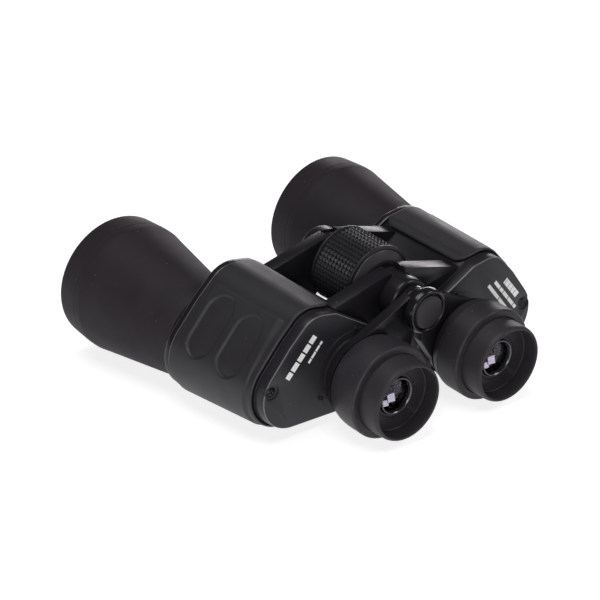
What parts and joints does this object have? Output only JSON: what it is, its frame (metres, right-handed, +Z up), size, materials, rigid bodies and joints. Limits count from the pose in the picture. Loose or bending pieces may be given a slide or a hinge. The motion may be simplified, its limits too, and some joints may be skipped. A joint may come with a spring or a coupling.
{
  "type": "binoculars",
  "caption": "Centre-focus porro-prism binoculars with rubber-armoured housings on a folding hinge, large tapered objective barrels and soft round eyecups.",
  "frame": {"origin": "bottom centre of the whole object's box, straight below the hinge axis", "axes": "+X to the right as seen from the eyepieces, +Y forward towards the objectives, +Z up; the optical axes and the hinge run along Y"},
  "size_m": [0.189, 0.1726, 0.0776],
  "materials": {
    "satin_casting": "satin black paint on cast metal",
    "cover_casting": "smooth semi-gloss black paint",
    "armour_rubber": "fine-grained matte black rubber",
    "wheel_rubber": "knurled black rubber",
    "eyecup_rubber": "smooth matte black rubber",
    "black_plastic": "moulded satin black plastic",
    "gloss_plastic": "polished black plastic",
    "blackened_aluminium": "black anodised",
    "steel": "turned steel",
    "brass": "turned brass",
    "coated_glass": "polished and anti-reflection coated"
  },
  "bodies": {
    "left_half": {"left_prism_housing": "satin_casting", "left_armour": "armour_rubber", "left_front_cover": "satin_casting", "left_rear_cover": "cover_casting", "left_cover_screw_1": "steel", "left_cover_screw_2": "steel", "left_objective_barrel": "satin_casting", "left_objective_ring": "blackened_aluminium", "left_crown_lens": "coated_glass", "left_flint_lens": "coated_glass", "left_prism_shelf": "black_plastic", "left_rear_prism": "coated_glass", "left_front_prism": "coated_glass", "left_rear_prism_clip": "steel", "left_front_prism_clip": "steel", "hinge_front_cap": "satin_casting", "front_hinge_axle": "steel", "rear_hinge_sleeve": "steel", "rear_hinge_collar": "satin_casting"},
    "right_half": {"right_prism_housing": "satin_casting", "right_armour": "armour_rubber", "right_front_cover": "satin_casting", "right_rear_cover": "cover_casting", "right_cover_screw_1": "steel", "right_cover_screw_2": "steel", "right_objective_barrel": "satin_casting", "right_objective_ring": "blackened_aluminium", "right_crown_lens": "coated_glass", "right_flint_lens": "coated_glass", "right_prism_shelf": "black_plastic", "right_rear_prism": "coated_glass", "right_front_prism": "coated_glass", "right_rear_prism_clip": "steel", "right_front_prism_clip": "steel"},
    "focus_wheel": {"focus_wheel_core": "gloss_plastic", "focus_wheel_grip": "wheel_rubber", "focus_nut": "brass"},
    "left_bridge": {"left_bridge_arm": "satin_casting", "left_eyepiece_body": "eyecup_rubber", "left_eyepiece_tube": "blackened_aluminium", "left_eyecup": "eyecup_rubber", "left_ocular_face": "black_plastic", "left_lens_ring": "blackened_aluminium", "left_eye_lens": "coated_glass", "left_field_lens": "coated_glass", "left_field_stop": "blackened_aluminium", "focus_spindle": "steel", "spindle_end_cap": "gloss_plastic", "end_cap_disc": "black_plastic"},
    "right_bridge": {"right_bridge_arm": "satin_casting", "right_dioptre_seat": "black_plastic"},
    "dioptre_ring": {"dioptre_ring": "eyecup_rubber"},
    "right_ocular": {"right_eyepiece_tube": "blackened_aluminium", "right_eyecup": "eyecup_rubber", "right_ocular_face": "black_plastic", "right_lens_ring": "blackened_aluminium", "right_eye_lens": "coated_glass", "right_field_lens": "coated_glass", "right_field_stop": "blackened_aluminium"}
  },
  "joints": [
    {"name": "hinge_fold", "type": "hinge", "parent": "left_half", "child": "right_half", "pos_m": [0, -0.01634, 0.05962], "axis": [0, 1, 0], "range_deg": [-32, 9]},
    {"name": "focus_wheel_turn", "type": "hinge", "parent": "left_half", "child": "focus_wheel", "pos_m": [0, -0.01604, 0.05962], "axis": [0, 1, 0], "range_deg": [-342, 17]},
    {"name": "left_bridge_slide", "type": "slide", "parent": "left_half", "child": "left_bridge", "axis": [0, 1, 0], "range_m": [-0.008, 0.0004]},
    {"name": "right_bridge_slide", "type": "slide", "parent": "right_half", "child": "right_bridge", "axis": [0, 1, 0], "range_m": [-0.008, 0.0004]},
    {"name": "dioptre_ring_turn", "type": "hinge", "parent": "right_bridge", "child": "dioptre_ring", "pos_m": [0.03006, -0.06934, 0.03421], "axis": [0, 1, 0], "range_deg": [-60, 60]},
    {"name": "right_ocular_slide", "type": "slide", "parent": "right_bridge", "child": "right_ocular", "axis": [0, 1, 0], "range_m": [-0.0012, 0.0012]}
  ],
  "couplings": [
    {"joint": "left_bridge_slide", "follows": "focus_wheel_turn", "m_per_rad": 0.0013369},
    {"joint": "right_bridge_slide", "follows": "focus_wheel_turn", "m_per_rad": 0.0013369},
    {"joint": "right_ocular_slide", "follows": "dioptre_ring_turn", "m_per_rad": 0.0011454}
  ]
}
